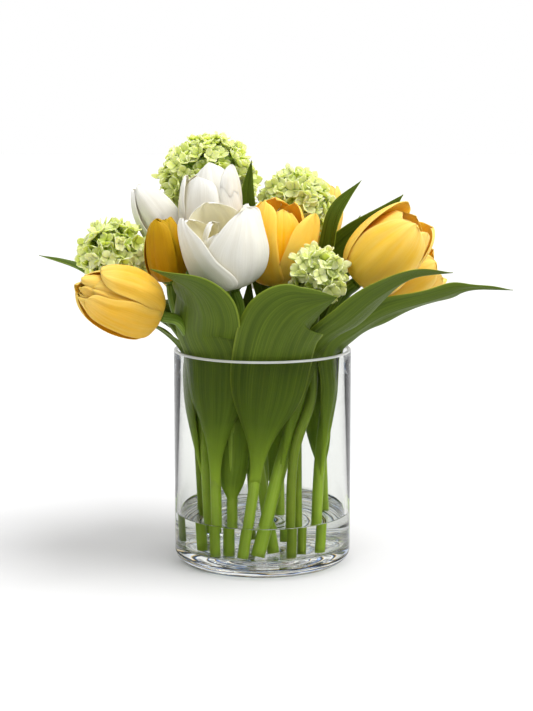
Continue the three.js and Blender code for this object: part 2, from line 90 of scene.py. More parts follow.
# look: the petals' material; ruffle: millimetres of waves towards the tip; flare: how far the tips bend
# outwards; heart: how many small petals stand inside; petals: what sets single ones apart, by their number.
TULIPS = [
    dict(name="front_left", look="golden", foot=(-31, -43), via=[(-34, -38, 92), (-46, -22, 148)],
         base=(-70, -40, 182), axis=(-0.84, -0.38, 0.38), length=62, radius=22, mouth=0.5, roll=10,
         ruffle=0.6, heart=5,
         petals={
             0: dict(open=0.16, stretch=0.88, turn=-14, point=0.42, relief=1.6, waver=0.05, width=0.92,
                     crease=0.9),
             1: dict(open=0.0, stretch=1.0), 2: dict(open=-0.05, stretch=0.98),
             3: dict(open=-0.15, stretch=1.05),
             4: dict(open=0.0, stretch=0.96, width=0.72, relief=1.5, turn=2, waver=0.08),
             5: dict(open=-0.12, stretch=0.95, relief=1.3, crease=1.8, turn=-6, girth=1.05),
             6: dict(open=-0.16, stretch=1.2), 7: dict(open=-0.24, stretch=1.16),
             8: dict(open=-0.2, stretch=1.22), 9: dict(open=-0.22, stretch=1.14, girth=0.9),
             10: dict(open=-0.3, stretch=1.18),
         }),
    dict(name="left_bud", look="white", foot=(-46, 22), via=[(-45, 21, 92), (-45, 20, 154)],
         base=(-61, 20, 222), axis=(-0.54, 0.11, 0.84), length=56, radius=15.5, mouth=0.24, roll=50,
         ruffle=0.3),
    dict(name="left_small", look="mustard", foot=(-37, -23), via=[(-42, -17, 92), (-52, -8, 154)],
         base=(-64, -18, 202), axis=(-0.15, -0.05, 0.98), length=48, radius=14, mouth=0.4, roll=0,
         ruffle=0.4),
    dict(name="front_white", look="white", foot=(-21, -35), via=[(-21, -35, 92), (-20, -40, 152)],
         base=(-19, -43, 200), axis=(-0.2, -0.1, 0.97), length=58, radius=26.5, mouth=0.95, roll=-28,
         point=0.62, ruffle=1.0, flare=0.4, heart=3,
         petals={
             0: dict(turn=-34, lean=26, width=1.1, girth=0.93, spiral=0.5, crease=1.6, relief=1.4,
                     point=0.6, waver=0.07, phase=1.2),
             1: dict(stretch=1.0, open=-0.1, relief=1.9, tone=0.9),
             2: dict(stretch=1.04, open=-0.1, lean=14, relief=1.9, tone=0.9),
             3: dict(stretch=0.96, open=-0.05, relief=1.9, tone=0.9),
             4: dict(turn=6, lean=-20, width=0.9, spiral=0.5, point=0.8, crease=0.6, relief=1.3, waver=0.06,
                     phase=2.6),
             5: dict(stretch=0.82, girth=0.86, open=0.05, relief=1.6),
             6: dict(open=-0.5, relief=1.6, turn=-62, stretch=0.86, girth=0.9, tone=0.9),
             7: dict(open=0.2, relief=2.4, stretch=1.1, width=0.9, waver=0.12, flare=3),
             8: dict(open=-0.75, relief=2.0, turn=64, stretch=1.0, width=0.9, waver=0.1),
         }),
    dict(name="back_white", look="white", foot=(7, -33), via=[(-6, -18, 92), (-20, -2, 162)],
         base=(-32, 9, 223), axis=(-0.1, -0.03, 0.99), length=62, radius=23, mouth=0.6, roll=-8, point=0.58,
         ruffle=0.7, heart=2,
         petals={
             0: dict(stretch=0.97, open=0.3, girth=0.78, width=0.9, relief=0.9, lean=-10),
             1: dict(stretch=0.92), 2: dict(stretch=0.9),
             3: dict(stretch=0.94, open=0.1, girth=1.05, width=0.8),
             4: dict(stretch=0.88, open=-0.1, turn=-4, girth=1.04, relief=1.1, crease=0.6, point=0.5),
             5: dict(stretch=1.07, open=-0.34, relief=0.9, turn=-10, crease=1.0),
         }),
    dict(name="centre_orange", look="orange", foot=(-13, -50), via=[(-4, -45, 77), (2, -26, 147)],
         base=(9, -4, 197), axis=(0.05, -0.04, 1), length=64, radius=22.5, mouth=0.6, roll=-25, ruffle=0.6,
         heart=3,
         petals={
             0: dict(turn=-4, open=0.62, stretch=0.88, width=0.95, relief=1.3, point=0.62, tone=1.0),
             4: dict(turn=3, width=0.95, open=-0.1, stretch=0.98, lean=-8, tone=0.94),
             5: dict(turn=2, girth=1.12, width=0.72, open=-0.05, stretch=0.95, crease=1.8, tone=0.5),
         }),
    dict(name="rear_right", look="pale_yellow", foot=(47, 19), via=[(44, 25, 92), (38, 38, 154)],
         base=(38, 74, 218), axis=(0.2, 0.15, 0.97), length=52, radius=16.5, mouth=0.5, roll=0, ruffle=0.6),
    dict(name="right", look="pale_yellow", foot=(-3, -48), via=[(12, -37, 72), (36, -20, 147)], stem=4.8,
         base=(66, -12, 202), axis=(0.66, -0.19, 0.73), length=65, radius=23.5, mouth=0.6, roll=28,
         ruffle=0.6, heart=2,
         petals={
             4: dict(girth=1.03, open=0.0, stretch=0.96, crease=0.5, turn=-4, relief=1.4, waver=0.05),
         }),
    dict(name="low_right", look="pale_yellow", foot=(37, -32), via=[(41, -24, 82), (53, 4, 150)],
         base=(75, 28, 186), axis=(0.89, -0.08, 0.45), length=60, radius=20, mouth=0.6, roll=10, ruffle=0.9,
         flare=0.5),
    dict(name="rear_left", look="golden", foot=(-22, 38), via=[(-28, 42, 92), (-35, 44, 152)],
         base=(-44, 54, 190), axis=(-0.42, 0.74, 0.52), length=60, radius=21, mouth=0.55, roll=40,
         ruffle=0.9, flare=0.5),
    dict(name="rear_white", look="white", foot=(13, 4), via=[(12, 28, 92), (12, 44, 152)],
         base=(8, 60, 192), axis=(0.05, 0.85, 0.52), length=62, radius=22, mouth=0.6, roll=0, ruffle=0.9,
         flare=0.5),
]

# wave: how far the margins undulate, in millimetres, and how many times along the leaf.
LEAVES = [
    dict(tulip="front_left", rise=62, width=57, peak=0.75, shoulder=0.22, bend=(1.3, 0.46, 0.5),
         path=[(-34, -44, 104), (-35, -44, 130), (-35.5, -44.5, 153), (-42, -45, 170), (-41, -60, 187),
               (-49, -74, 205), (-74, -82, 219)],
         face=[(0.42, 0.9, 0.05), (0.5, 0.15, 0.85)], wave=(1.2, 3)),
    dict(tulip="left_bud", rise=72, width=24, peak=0.5, bend=(1.4, 0.5, 0.5),
         path=[(-51, 25, 114), (-52, 23, 153), (-67, 26, 169), (-97, 31, 187), (-132, 34, 207),
               (-163, 34, 217)],
         face=[(0.9, -0.4, 0.1), (0.1, -0.3, 0.95)], wave=(0.8, 4)),
    dict(tulip="left_bud", rise=148, width=16, peak=0.4, bend=(1.2, 0.5, 0.4),
         path=[(-60, 36, 188), (-76, 40, 222), (-88, 40, 240)], face=[(0.6, -0.8, 0.1), (0.7, -0.6, 0.2)],
         wave=(0.4, 3)),
    dict(tulip="left_small", rise=64, width=22, peak=0.3, bend=(1.3, 0.5, 0.5),
         path=[(-53, -16, 106), (-56, -13, 134), (-57, -11, 153), (-75, -10, 170), (-102, -12, 180)],
         face=[(0.97, 0.2, 0.1), (0.2, 0.1, 0.97)], wave=(0.8, 4)),
    dict(tulip="front_white", rise=44, width=25, peak=0.45, shoulder=0.25, bend=(1.3, 0.45, 0.5),
         path=[(-21.5, -38, 68), (-20, -38, 92), (-21, -38, 122), (-21, -40, 152), (-26, -46, 194)],
         face=[(0.1, 1, 0.05), (0.1, 1, 0.2)], wave=(1.0, 3)),
    dict(tulip="back_white", rise=44, width=22, peak=0.64, shoulder=0.17, bend=(1.3, 0.45, 0.4),
         path=[(-3, -20, 72), (-7, -10, 100), (-9, -2, 130), (-11, 3, 160), (-9, 7, 204)],
         face=[(-0.3, 0.95, 0.05), (-0.2, 1, 0.1)], wave=(0.8, 3)),
    dict(tulip="centre_orange", rise=66, width=60, peak=0.58, shoulder=0.27, bend=(1.3, 0.4, 0.6),
         path=[(0, -56, 105), (4, -58, 129), (7.5, -58, 153), (12.6, -68, 172), (20.5, -75, 185),
               (32, -74, 192), (50, -73, 199)],
         face=[(-0.08, 1, 0.05), (-0.25, 0.75, 0.6)], wave=(1.2, 3)),
    dict(tulip="rear_right", rise=48, width=26, peak=0.55, shoulder=0.22, bend=(1.3, 0.5, 0.4),
         path=[(40, 17, 92), (34, 14, 122), (33, 15, 152), (35, 19, 176)],
         face=[(0.3, 0.95, 0.05), (0.2, 1, 0.1)], wave=(0.8, 3)),
    dict(tulip="rear_right", rise=106, width=36, peak=0.58, bend=(1.2, 0.6, 0.6),
         path=[(44, 33, 152), (44, 36, 174), (46, 30, 194), (52, 25, 209), (64, 22, 223), (81, 20, 240),
               (101, 20, 262)],
         face=[(-0.5, -0.85, 0.2), (-0.35, -0.85, 0.4)], wave=(0.8, 3)),
    dict(tulip="rear_right", rise=140, width=16, peak=0.5, bend=(1.2, 0.5, 0.4),
         path=[(47, 54, 190), (61, 52, 219), (72, 50, 245)], face=[(-0.7, -0.7, 0.1), (-0.7, -0.6, 0.3)],
         wave=(0.4, 3)),
    dict(tulip="right", rise=74, width=29, peak=0.64, bend=(1.2, 0.45, 0.5),
         path=[(19.5, -44.5, 102), (26, -44.5, 130), (33.5, -40, 154), (43, -46, 168), (58, -54, 180),
               (78, -58, 197.5), (102, -57, 211), (129.5, -53, 213.5)],
         face=[(-0.5, 0.85, 0.2), (-0.15, 0.36, 0.92)], wave=(0.8, 3)),
    dict(tulip="low_right", rise=64, width=28, peak=0.5, bend=(1.4, 0.5, 0.5),
         path=[(45, -33, 102), (49, -29, 128), (49, -26.7, 155), (65, -22, 168), (88, -22, 182),
               (124, -22, 193), (146, -22, 199), (175, -22, 198)],
         face=[(-0.8, 0.6, 0.1), (-0.1, 0.38, 0.92)], wave=(1.6, 5)),
    dict(tulip="low_right", rise=114, width=17, peak=0.62, bend=(1.2, 0.5, 0.5),
         path=[(46, -2, 162), (45, 3, 199), (47.5, 4, 229), (53.5, 4, 252), (70, 4, 273)],
         face=[(-0.7, -0.7, 0.1), (-0.7, -0.6, 0.3)], wave=(0.5, 3)),
    dict(tulip="low_right", rise=80, width=24, peak=0.5, bend=(1.3, 0.5, 0.5),
         path=[(54, 4, 114), (57, 6, 154), (74, 28, 168), (90, 72, 178)],
         face=[(-0.95, -0.25, 0.1), (-0.3, -0.4, 0.87)], wave=(0.8, 4)),
    dict(tulip="rear_left", rise=72, width=36, peak=0.5, bend=(1.3, 0.5, 0.5),
         path=[(-30, 46, 112), (-30.5, 46, 157), (-60, 66, 171), (-98, 84, 178)],
         face=[(0.5, -0.85, 0.1), (0.3, -0.4, 0.85)], wave=(1.2, 4)),
    dict(tulip="rear_white", rise=72, width=38, peak=0.5, bend=(1.3, 0.5, 0.5),
         path=[(14, 54, 114), (12, 55, 160), (20, 84, 176), (30, 118, 180)],
         face=[(-0.25, -0.95, 0.1), (-0.1, -0.5, 0.85)], wave=(1.2, 4)),
    dict(tulip="rear_white", rise=39, width=21, peak=0.5, shoulder=0.24, bend=(1.3, 0.5, 0.4),
         path=[(9, 4, 60), (9.5, 0, 80), (12.5, -6, 112), (12, -9, 142), (10, -8, 166)],
         face=[(0.1, 1, 0.05), (0.1, 1, 0.1)], wave=(0.8, 3)),
    dict(tulip="rear_white", rise=130, width=14, peak=0.5, bend=(1.2, 0.5, 0.4),
         path=[(2, 42, 180), (-8, 40, 228), (-11, 40, 258), (-8, 42, 286)],
         face=[(0, -1, 0.1), (0, -1, 0.2)], wave=(0.4, 3)),
]

SNOWBALLS = [
    dict(name="top", foot=(-6, 18), via=[(-12, 24, 92), (-21, 34, 162)], centre=(-40, 69, 267), radius=34,
         stem=3.0, florets=300),
    dict(name="right", foot=(25, -37), via=[(25, -18, 92), (25, 8, 162)], centre=(24, 38, 253), radius=24.5,
         stem=3.0, florets=170),
    dict(name="left", foot=(-44, 5), via=[(-49, 5, 92), (-54, 5, 152)], centre=(-105, 6, 219), radius=24,
         stem=2.6, florets=150),
    dict(name="low", foot=(19, -46), via=[(21.5, -43.5, 82), (34, -30.5, 122), (34.3, -32, 158)],
         centre=(38.5, -40, 211.5), radius=17.5, stem=3.5, florets=84),
]

# ---- meshes


class Pieces:
    """Gathers parts of one mesh: places in millimetres, faces, and per-vertex uv, tone and front values."""

    def __init__(self):
        self.places, self.faces, self.uv, self.tone, self.front = [], [], [], [], []
        self.slots, self.smooth = [], []
        self.count = 0

    def add(self, places, faces, uv, tone=0.5, front=0.0, slot=0, flat=0):
        """The last flat faces are shaded flat, the others smooth."""
        places = np.asarray(places, float).reshape(-1, 3)
        n = len(places)
        self.places.append(places)
        self.faces.extend(tuple(self.count + i for i in face) for face in faces)
        self.slots.extend(slot if isinstance(slot, list) else [slot] * len(faces))
        self.smooth.extend([True] * (len(faces) - flat) + [False] * flat)
        self.uv.append(np.broadcast_to(uv, (n, 2)))
        self.tone.append(np.broadcast_to(tone, (n,)))
        self.front.append(np.broadcast_to(front, (n,)))
        self.count += n

    def make(self, name, materials, crease=180):
        """Edges that turn by more than crease, in degrees, are shaded sharp."""
        mesh = bpy.data.meshes.new(name)
        places = np.concatenate(self.places) * MM
        mesh.from_pydata(places.tolist(), [], self.faces)
        loops = np.zeros(len(mesh.loops), int)
        mesh.loops.foreach_get("vertex_index", loops)
        layer = mesh.uv_layers.new(name="UVMap")
        layer.data.foreach_set("uv", np.concatenate(self.uv)[loops].astype(np.float32).ravel())
        for kind, values in (("tone", self.tone), ("front", self.front)):
            attribute = mesh.attributes.new(kind, "FLOAT", "POINT")
            attribute.data.foreach_set("value", np.concatenate(values).astype(np.float32))
        for material in materials:
            mesh.materials.append(material)
        mesh.polygons.foreach_set("material_index", self.slots)
        mesh.polygons.foreach_set("use_smooth", self.smooth)
        mesh.set_sharp_from_angle(angle=radians(crease))
        mesh.update()
        return place(name, mesh)


def place(name, data):
    """A new object of this mesh, lamp or camera, in the scene."""
    placed = bpy.data.objects.new(name, data)
    bpy.context.scene.collection.objects.link(placed)
    return placed


def settle(piece, slot, *nodes):
    """The piece rides on the part's one body and stands for its CAD nodes."""
    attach(piece, "root")
    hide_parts(*nodes)


def grid_faces(rows, columns, start=0, flip=False):
    faces = []
    for i in range(rows - 1):
        for j in range(columns - 1):
            a = start + i * columns + j
            face = (a, a + 1, a + columns + 1, a + columns)
            faces.append(face[::-1] if flip else face)
    return faces


def shell(pieces, surface, s, t, thickness, tone, slot=0):
    """A closed blade on surface(s, t), as thick as thickness(s, t). Its front, where front is 1, looks along
    d/ds x d/dt: a petal's outer side, and a leaf's inner one."""
    across, along = np.meshgrid(s, t)
    step = 1e-3
    middle = surface(across, along)
    ds = surface(across + step, along) - surface(across - step, along)
    dt = surface(across, np.minimum(1, along + step)) - surface(across, np.maximum(0, along - step))
    normal = np.cross(ds, dt)
    normal /= np.linalg.norm(normal, axis=-1, keepdims=True) + 1e-12
    offset = normal * thickness(across, along)[..., None] / 2
    rows, columns = across.shape
    size = rows * columns
    faces = grid_faces(rows, columns) + grid_faces(rows, columns, size, flip=True)
    rim = [(0, j) for j in range(columns - 1)] + [(i, columns - 1) for i in range(rows - 1)]
    rim += [(rows - 1, j) for j in range(columns - 1, 0, -1)] + [(i, 0) for i in range(rows - 1, 0, -1)]
    ids = [i * columns + j for i, j in rim]
    for a, b in zip(ids, ids[1:] + ids[:1]):
        faces.append((a, a + size, b + size, b))
    uv = np.stack([across.ravel() / 2 + 0.5, along.ravel()], -1)
    places = np.concatenate([(middle + offset).reshape(-1, 3), (middle - offset).reshape(-1, 3)])
    front = np.concatenate([np.ones(size), np.zeros(size)])
    pieces.add(places, faces, np.concatenate([uv, uv]), tone, front, slot, flat=len(ids))


def lathe(pieces, profile, segments, slot=0, slot_at=None):
    """A closed profile of (radius, height) pairs turned about Z, from radius 0 to radius 0. slot_at gives a
    band's slot by its mean height."""
    places = [(0, 0, profile[0][1])]
    uv = [(0, 0)]
    for k, (r, z) in enumerate(profile[1:-1]):
        for i in range(segments):
            angle = 2 * pi * i / segments
            places.append((r * cos(angle), r * sin(angle), z))
            uv.append((i / segments, (k + 1) / len(profile)))
    places.append((0, 0, profile[-1][1]))
    uv.append((0, 1))
    rings = len(profile) - 2
    heights = [(low[1] + high[1]) / 2 for low, high in zip(profile, profile[1:])]
    slots = [slot_at(height) if slot_at else slot for height in heights]
    faces, faces_slots = [], []
    for i in range(segments):
        j = (i + 1) % segments
        faces.append((0, 1 + j, 1 + i))
        for k in range(rings - 1):
            a = 1 + k * segments
            faces.append((a + i, a + j, a + segments + j, a + segments + i))
        last = 1 + (rings - 1) * segments
        faces.append((last + i, last + j, len(places) - 1))
        faces_slots += slots
    pieces.add(places, faces, np.array(uv), slot=faces_slots)


def arc(centre_r, centre_z, radius, start, end, steps):
    angles = np.linspace(start, end, steps + 1)
    return [(centre_r + radius * cos(a), centre_z + radius * sin(a)) for a in angles]


def bezier(t, a, b, c, d):
    u = 1 - t
    return u**3 * a + 3 * u * u * t * b + 3 * u * t * t * c + t**3 * d


def smooth(x, low, high):
    t = np.clip((x - low) / (high - low), 0, 1)
    return t * t * (3 - 2 * t)


def unit(v):
    v = np.asarray(v, float)
    return v / np.linalg.norm(v, axis=-1, keepdims=True)


class Curve:
    """A Catmull-Rom curve through points, as in the CAD source."""

    def __init__(self, points):
        inside_with_painted_light = np.array(points, float)
        first = 2 * inside_with_painted_light[0] - inside_with_painted_light[1]
        last = 2 * inside_with_painted_light[-1] - inside_with_painted_light[-2]
        self.points = np.vstack([first, inside_with_painted_light, last])
        self.spans = len(inside_with_painted_light) - 1

    def at(self, t):
        t = np.clip(np.asarray(t, float), 0, 1) * self.spans
        i = np.minimum(np.floor(t).astype(int), self.spans - 1)
        w = (t - i)[..., None]
        a, b, c, d = (self.points[i + k] for k in range(4))
        m, n = (c - a) / 2, (d - b) / 2
        return b + m * w + (3 * (c - b) - 2 * m - n) * w**2 + (2 * (b - c) + m + n) * w**3

    def along(self, t):
        step = 1e-4
        return unit(self.at(np.minimum(1, t + step)) - self.at(np.maximum(0, t - step)))

    def height(self, z):
        """The parameter at which the curve reaches height z."""
        low, high = 0.0, 1.0
        for _ in range(24):
            middle = (low + high) / 2
            if self.at(middle)[2] < z:
                low = middle
            else:
                high = middle
        return low


def turn_to(axis, roll=0.0):
    """The rotation matrix that carries +Z onto axis, after a roll in degrees about +Z."""
    tilt = UP.rotation_difference(Vector(axis))
    spin = Quaternion(UP, radians(roll))
    return np.array((tilt @ spin).to_matrix())


# ---- materials

WHITE = (1, 1, 1)


class Nodes:
    """A node tree being built. Values are numbers, colours or the sockets of other nodes."""

    def __init__(self, tree):
        self.tree = tree
        tree.nodes.clear()

    def node(self, kind, values=None, **settings):
        node = self.tree.nodes.new("ShaderNode" + kind)
        for key, value in settings.items():
            setattr(node, key, value)
        for key, value in (values or {}).items():
            socket = node.inputs[key]
            if isinstance(value, bpy.types.NodeSocket):
                self.tree.links.new(value, socket)
            elif socket.type == "RGBA":
                socket.default_value = (*value, 1)
            else:
                socket.default_value = value
        return node

    def add(self, kind, values=None, **settings):
        return self.node(kind, values, **settings).outputs[0]

    def attribute(self, name):
        return self.node("Attribute", attribute_name=name).outputs["Fac"]

    def back(self):
        """1 on a blade's back and 0 on its front."""
        return self.math("SUBTRACT", 1.0, self.attribute("front"))

    def uv(self):
        return self.add("UVMap", uv_map="UVMap")

    def places(self):
        """Places on the piece, in metres."""
        return self.node("TexCoord").outputs["Object"]

    def split(self, vector):
        return self.node("SeparateXYZ", {0: vector}).outputs

    def math(self, operation, *values):
        return self.add("Math", dict(enumerate(values)), operation=operation)

    def times(self, a, b):
        return self.math("MULTIPLY", a, b)

    def plus(self, first, *others):
        for value in others:
            first = self.math("ADD", first, value)
        return first

    def from_middle(self, u):
        """0 along a blade's middle and 1 at its margins."""
        return self.times(self.math("ABSOLUTE", self.math("SUBTRACT", u, 0.5)), 2.0)

    def noise(self, vector, scale, stretch=(1, 1, 1), detail=4.0, roughness=0.55):
        return self.add("TexNoise", {
            "Vector": self.add("Mapping", {"Vector": vector, "Scale": stretch}),
            "Scale": scale, "Detail": detail, "Roughness": roughness,
        })

    def ramp(self, value, *stops):
        """A stop is a place from 0 to 1 and its colour, or its grey as one number."""
        node = self.node("ValToRGB", {0: value})
        elements = node.color_ramp.elements
        while len(elements) < len(stops):
            elements.new(0.5)
        for element, (position, colour) in zip(elements, stops):
            element.position = position
            element.color = (colour, colour, colour, 1) if np.isscalar(colour) else (*colour, 1)
        return node.outputs[0]

    def mix(self, factor, a, b):
        return self.node("Mix", {0: factor, 6: a, 7: b}, data_type="RGBA").outputs[2]

    def over(self, shade, colour, mask, weight):
        """Colour laid over shade, at this weight where mask is 1."""
        return self.mix(self.times(mask, weight), shade, colour)

    def lighten(self, shade, value):
        return self.add("HueSaturation", {"Value": value, "Color": shade})

    def relief(self, height, strength, distance):
        """A normal for bumps of this distance, in metres."""
        return self.add("Bump", {"Strength": strength, "Distance": distance, "Height": height})


class Material(Nodes):
    def __init__(self, name):
        self.made = bpy.data.materials.new(name)
        self.made.use_nodes = True
        super().__init__(self.made.node_tree)

    def finish(self, shader):
        self.node("OutputMaterial", {"Surface": shader})
        return self.made

    def skin(self, shade, roughness, relief, gloss, glow, glow_reach, glow_shares):
        """A plant's skin. Its glow has a weight, a reach in metres and a share of each colour."""
        return self.finish(self.add("BsdfPrincipled", {
            "Base Color": shade, "Roughness": roughness, "Normal": relief, "IOR": 1.4,
            "Specular IOR Level": gloss, "Subsurface Weight": glow, "Subsurface Radius": glow_shares,
            "Subsurface Scale": glow_reach,
        }))


def srgb(red, green, blue):
    """A colour from its 0 to 255 screen values, as linear light."""
    def linear(value):
        value /= 255
        return value / 12.92 if value <= 0.04045 else ((value + 0.055) / 1.055) ** 2.4
    return tuple(linear(v) for v in (red, green, blue))


PETAL_GLOW = 0.4
PETAL_GLOW_REACH = 0.002


def petal_material(name, base, body, tip, streak, inside_with_painted_light, glow_shares):
    """Satin petal: base to tip colours, fine streaks along it, paler margins and an inside in a colour of its
    own, made brighter than the outside to stand for the light that reaches it: painted light. A tone near 1
    makes a petal pale."""
    m = Material(name)
    uv = m.uv()
    u, v, _ = m.split(uv)
    tone = m.attribute("tone")
    fine = m.noise(uv, 1.0, (58, 1.5, 1), detail=5, roughness=0.65)
    broad = m.noise(uv, 1.0, (9, 2.2, 1), detail=3)
    patches = m.noise(m.places(), 55, detail=3)
    shade = m.ramp(v, (0.0, base), (0.22, body), (0.75, body), (1.0, tip))
    shade = m.over(shade, tip, m.math("POWER", m.from_middle(u), 5.0), 0.5)
    shade = m.over(shade, streak, m.ramp(fine, (0.42, 0), (0.62, 1)), 0.45)
    shade = m.over(shade, tip, m.ramp(broad, (0.35, 0), (0.7, 1)), 0.35)
    shade = m.mix(m.add("MapRange", {"Value": tone, "From Min": 0.9, "To Max": 0.7}), shade, tip)
    # The back faces take the inside colour, most towards the foot: partly the petals' own inner colour,
    # partly painted light.
    shade = m.over(shade, inside_with_painted_light, m.times(m.back(), m.ramp(v, (0.1, 1), (0.95, 0.5))), 0.95)
    uneven = m.times(m.math("SUBTRACT", patches, 0.5), 0.14)
    shade = m.lighten(shade, m.plus(0.92, m.times(tone, 0.12), uneven))
    relief = m.relief(m.plus(m.times(fine, 0.8), m.times(broad, 0.9)), 0.45, 0.0006)
    rough = m.add("MapRange", {"Value": broad, "To Min": 0.4, "To Max": 0.6})
    return m.skin(shade, rough, relief, 0.14, PETAL_GLOW, PETAL_GLOW_REACH, glow_shares)


# Stems and leaves turn from a paler, fresher green at their feet to a deeper one, between these heights in
# metres. The paler feet are partly their own fresher colour and partly painted light: brightened to make up
# for the light that the glass and water keep from them.
FRESH_AND_LIT_FROM, FRESH_AND_LIT_TO = 0.05, 0.155
STEM_FOOT, STEM_ABOVE = srgb(158, 188, 58), srgb(92, 120, 26)
LEAF_FOOT_DARK, LEAF_FOOT_LIGHT = srgb(100, 132, 26), srgb(150, 180, 56)


def foot_fresh_and_painted_light(m, places):
    """1 at the stems' feet and 0 above."""
    height = m.split(places)[2]
    return m.add("MapRange", {"Value": height, "From Min": FRESH_AND_LIT_TO, "From Max": FRESH_AND_LIT_FROM},
                 interpolation_type="SMOOTHSTEP")


def leaf_material(name, dark, light, vein, under):
    """Waxy leaf with fine parallel veins, a pale margin, a duller underside and a fresh green foot, which
    is also brightened as painted light for the light that the glass and water keep from it.
    """
    m = Material(name)
    uv = m.uv()
    u, v, _ = m.split(uv)
    places = m.places()
    fine = m.noise(uv, 1.0, (64, 0.9, 1), detail=4, roughness=0.6)
    middling = m.noise(uv, 1.0, (26, 0.8, 1), detail=3)
    broad = m.noise(uv, 1.0, (7, 1.3, 1), detail=4)
    patches = m.noise(places, 30, detail=3)
    # The foot's greens are brighter: partly fresher colour, partly painted light.
    fresh_and_painted_light = foot_fresh_and_painted_light(m, places)
    deep = m.mix(fresh_and_painted_light, dark, LEAF_FOOT_DARK)
    pale = m.mix(fresh_and_painted_light, light, LEAF_FOOT_LIGHT)
    shade = m.mix(m.ramp(broad, (0.3, 0), (0.72, 1)), deep, pale)
    shade = m.over(shade, pale, m.ramp(patches, (0.4, 0), (0.75, 1)), 0.3)
    shade = m.over(shade, under, m.back(), 0.35)
    shade = m.over(shade, deep, m.ramp(middling, (0.36, 1), (0.52, 0)), 0.3)
    shade = m.over(shade, vein, m.ramp(fine, (0.5, 0), (0.58, 1), (0.68, 0.1)), 0.2)
    shade = m.over(shade, vein, m.ramp(m.from_middle(u), (0.94, 0), (0.985, 1)), 0.8)
    shade = m.mix(m.ramp(v, (0.02, 1), (0.16, 0)), shade, m.mix(fresh_and_painted_light, STEM_ABOVE, STEM_FOOT))
    shade = m.lighten(shade, m.plus(0.82, m.times(m.attribute("tone"), 0.36)))
    relief = m.relief(m.plus(m.times(fine, 0.5), m.plus(middling, broad)), 0.5, 0.0008)
    rough = m.add("MapRange", {"Value": broad, "To Min": 0.36, "To Max": 0.54})
    return m.skin(shade, rough, relief, 0.16, 0.06, 0.001, (0.5, 1.0, 0.1))


def stem_material(name, low, high, streak):
    """Fresh stem, paler towards its foot, with fine length-wise streaks. The paler foot is also painted
    light, brightened for the light that the glass and water keep from it.
    """
    m = Material(name)
    places = m.places()
    fine = m.noise(m.uv(), 1.0, (24, 3, 1), detail=4, roughness=0.6)
    patches = m.noise(places, 60, detail=3)
    # Paler towards the foot: partly fresher colour, partly painted light.
    shade = m.mix(foot_fresh_and_painted_light(m, places), high, low)
    shade = m.over(shade, streak, m.ramp(fine, (0.45, 0), (0.65, 1)), 0.4)
    shade = m.lighten(shade, m.plus(0.9, m.times(m.math("SUBTRACT", patches, 0.5), 0.4)))
    return m.skin(shade, 0.42, m.relief(fine, 0.3, 0.0004), 0.3, 0.15, 0.0015, (0.6, 1.0, 0.1))


def floret_material():
    """Lime floret petals: greener at the middle, pale along the rim, each floret in its own tone, which is
    darker the deeper the floret lies in the head: painted shade.
    """
    m = Material("floret")
    uv = m.uv()
    v = m.split(uv)[1]
    fine = m.noise(uv, 1.0, (10, 2, 1), detail=3)
    # The tone darkens florets that lie deeper in the head: painted shade.
    shade = m.mix(m.attribute("tone"), srgb(186, 208, 64), srgb(236, 242, 164))
    shade = m.over(shade, srgb(246, 250, 204), m.ramp(v, (0.15, 0), (0.6, 0.3), (1.0, 1)), 0.6)
    shade = m.over(shade, srgb(140, 172, 36), m.ramp(v, (0.0, 1), (0.2, 0)), 0.6)
    shade = m.over(shade, srgb(150, 180, 50), m.ramp(fine, (0.45, 0), (0.7, 1)), 0.12)
    return m.skin(shade, 0.5, m.relief(fine, 0.12, 0.0003), 0.2, 0.5, 0.003, (0.9, 1.0, 0.25))


def core_material():
    """The mottled green that shows between a head's florets."""
    m = Material("head_core")
    patches = m.noise(m.places(), 160, detail=4)
    shade = m.mix(m.ramp(patches, (0.35, 0), (0.7, 1)), srgb(120, 150, 40), srgb(160, 186, 70))
    relief = m.relief(patches, 0.6, 0.001)
    return m.finish(m.add("BsdfPrincipled", {"Base Color": shade, "Roughness": 0.6, "Normal": relief}))


GLASS_TINT = (0.945, 0.95, 0.94)
WATER_TINT = (0.97, 0.975, 0.97)
SHADOW_TINT = (0.97, 0.98, 0.975)
# Dark, bluish and amber bands painted into the thick bottom's bent and mirrored colours: painted reflections.
PAINTED_BANDS_OUTWARD, PAINTED_BANDS_UPWARD = 180, 260  # rings per metre in the glass bottom


